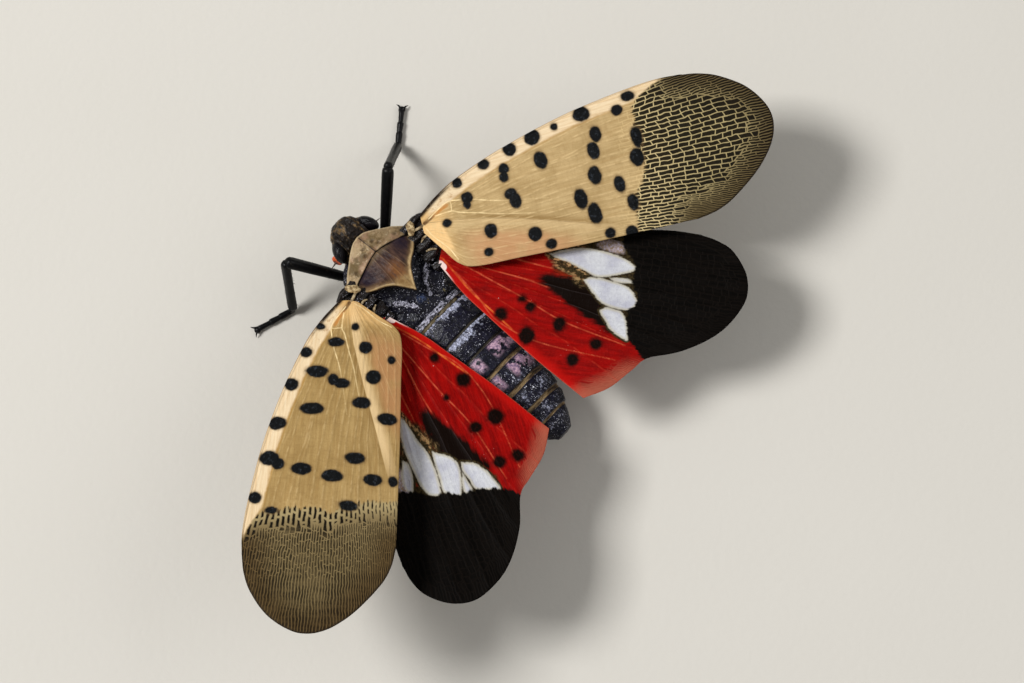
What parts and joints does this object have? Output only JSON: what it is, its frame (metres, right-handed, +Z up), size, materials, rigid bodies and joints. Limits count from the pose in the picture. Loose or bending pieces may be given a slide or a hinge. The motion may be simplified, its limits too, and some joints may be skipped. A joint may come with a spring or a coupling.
{
  "type": "spotted lanternfly",
  "caption": "Still life-size model of a spotted lanternfly standing on its feet with all wings spread, for display.",
  "frame": {"origin": "on the ground, at the centre of the box round the whole insect", "axes": "+Z up, head towards -Y, tail towards +Y, the insect's left wing towards +X"},
  "size_m": [0.0446, 0.0264, 0.0131],
  "materials": {
    "forewing": "leathery tan wing with black spots and a netted dark tip",
    "hindwing": "scarlet membrane with black spots, a waxy white band and a velvet black tip",
    "pronotum": "dull olive-tan cuticle",
    "mesonotum": "satin purple-brown cuticle with cream edges",
    "tegula": "dull pale tan cuticle",
    "thorax": "black cuticle dusted with white wax",
    "abdomen": "black rings dusted with bluish-white wax, tan between them",
    "head": "blackish-brown cuticle mottled with tan",
    "eye": "glossy black",
    "antenna": "satin orange-red bulb with a dark bristle",
    "leg": "satin black"
  },
  "bodies": {
    "root": {"forewing_left": "forewing", "forewing_right": "forewing", "hindwing_left": "hindwing", "hindwing_right": "hindwing", "thorax": "thorax", "pronotum": "pronotum", "mesonotum": "mesonotum", "tegula_left": "tegula", "tegula_right": "tegula", "head": "head", "eye_left": "eye", "eye_right": "eye", "antenna_left": "antenna", "antenna_right": "antenna", "rostrum": "leg", "abdomen_1": "abdomen", "abdomen_2": "abdomen", "abdomen_3": "abdomen", "abdomen_4": "abdomen", "abdomen_5": "abdomen", "abdomen_6": "abdomen", "abdomen_7": "abdomen", "foreleg_coxa_left": "leg", "foreleg_femur_left": "leg", "foreleg_tibia_left": "leg", "foreleg_tarsus_left": "leg", "midleg_coxa_left": "leg", "midleg_femur_left": "leg", "midleg_tibia_left": "leg", "midleg_tarsus_left": "leg", "hindleg_coxa_left": "leg", "hindleg_femur_left": "leg", "hindleg_tibia_left": "leg", "hindleg_tarsus_left": "leg", "foreleg_coxa_right": "leg", "foreleg_femur_right": "leg", "foreleg_tibia_right": "leg", "foreleg_tarsus_right": "leg", "midleg_coxa_right": "leg", "midleg_femur_right": "leg", "midleg_tibia_right": "leg", "midleg_tarsus_right": "leg", "hindleg_coxa_right": "leg", "hindleg_femur_right": "leg", "hindleg_tibia_right": "leg", "hindleg_tarsus_right": "leg"}
  },
  "joints": []
}
